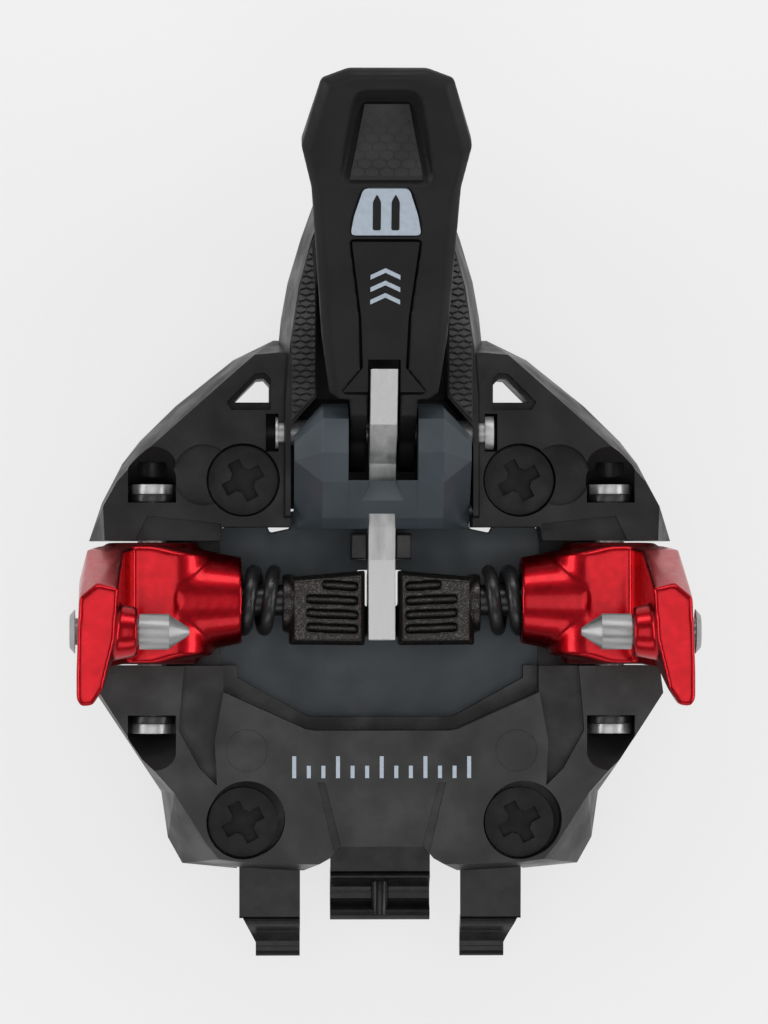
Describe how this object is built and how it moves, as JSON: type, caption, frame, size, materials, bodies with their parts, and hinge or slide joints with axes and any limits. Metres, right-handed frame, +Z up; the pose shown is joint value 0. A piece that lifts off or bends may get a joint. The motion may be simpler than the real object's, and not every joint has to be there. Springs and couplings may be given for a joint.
{
  "type": "touring binding toe unit",
  "caption": "Toe unit of a pin touring binding: sprung wings with boot pins, a mode lever, a sole trigger and a crampon holder on a screwed base.",
  "frame": {"origin": "centre of the ski screw pattern on the underside of the base", "axes": "+Y towards the ski tip, +X to the right seen from above, +Z up from the ski"},
  "size_m": [0.0846, 0.1201, 0.0587],
  "materials": {
    "black_plastic": "moulded, fine grained",
    "lever_plastic": "soft matt",
    "inlay_plastic": "smooth satin",
    "pad_rubber": "scaled grip texture",
    "label": "printed, satin",
    "wedge_plastic": "moulded, satin",
    "floor_plastic": "moulded, satin",
    "coated_steel": "gloss black coating",
    "screw_steel": "black phosphated",
    "zinc_steel": "ground, bright",
    "pin_steel": "hardened, matt turned",
    "red_aluminium": "anodised, glossy",
    "cast_metal": "sparkling as-cast",
    "spring_steel": "black oiled",
    "bronze": "sintered",
    "washer_black": "black"
  },
  "bodies": {
    "base": {"front_housing": "black_plastic", "rear_housing": "black_plastic", "floor_plate": "floor_plastic", "crampon_holder": "coated_steel", "mounting_screws": "screw_steel", "axle_left": "zinc_steel", "axle_right": "zinc_steel", "axle_washers": "washer_black", "lever_pin": "zinc_steel", "side_grips": "pad_rubber", "blade_guide": "black_plastic"},
    "rocker": {"lock_wedge": "wedge_plastic", "lock_blade": "zinc_steel"},
    "lever": {"toe_lever": "lever_plastic", "lever_inlay": "inlay_plastic", "mode_label": "label", "thumb_pad": "pad_rubber"},
    "wing_left": {"arm_left": "red_aluminium", "boot_pin_left": "pin_steel", "bushings_left": "bronze", "spring_left": "spring_steel"},
    "wing_right": {"arm_right": "red_aluminium", "boot_pin_right": "pin_steel", "bushings_right": "bronze", "spring_right": "spring_steel"},
    "sole_trigger_left": {"trigger_left": "cast_metal", "push_rod_left": "spring_steel"},
    "sole_trigger_right": {"trigger_right": "cast_metal", "push_rod_right": "spring_steel"}
  },
  "joints": [
    {"name": "wing_right_open", "type": "hinge", "parent": "base", "child": "wing_right", "pos_m": [0.0315, 0.0064, 0.011], "axis": [0, 1, 0], "range_deg": [0, 14], "stiffness_Nm_per_rad": 0.5, "springref_deg": -5.73},
    {"name": "wing_left_open", "type": "hinge", "parent": "base", "child": "wing_left", "pos_m": [-0.0315, 0.0064, 0.011], "axis": [0, -1, 0], "range_deg": [0, 14], "stiffness_Nm_per_rad": 0.5, "springref_deg": -5.73},
    {"name": "rocker_tilt", "type": "hinge", "parent": "base", "child": "rocker", "pos_m": [0, 0.03, 0.013], "axis": [-1, 0, 0], "range_deg": [0, 16]},
    {"name": "lever_raise", "type": "hinge", "parent": "rocker", "child": "lever", "pos_m": [0, 0.03, 0.013], "axis": [1, 0, 0], "range_deg": [0, 36]},
    {"name": "trigger_right_press", "type": "slide", "parent": "wing_right", "child": "sole_trigger_right", "axis": [1, 0, 0], "range_m": [0, 0.0008], "stiffness_N_per_m": 2000, "springref_m": -0.001, "deforming": ["spring_right"]},
    {"name": "trigger_left_press", "type": "slide", "parent": "wing_left", "child": "sole_trigger_left", "axis": [-1, 0, 0], "range_m": [0, 0.0008], "stiffness_N_per_m": 2000, "springref_m": -0.001, "deforming": ["spring_left"]}
  ],
  "couplings": [
    {"joint": "wing_left_open", "follows": "wing_right_open", "ratio": 1},
    {"joint": "rocker_tilt", "follows": "wing_right_open", "ratio": 1.142}
  ]
}
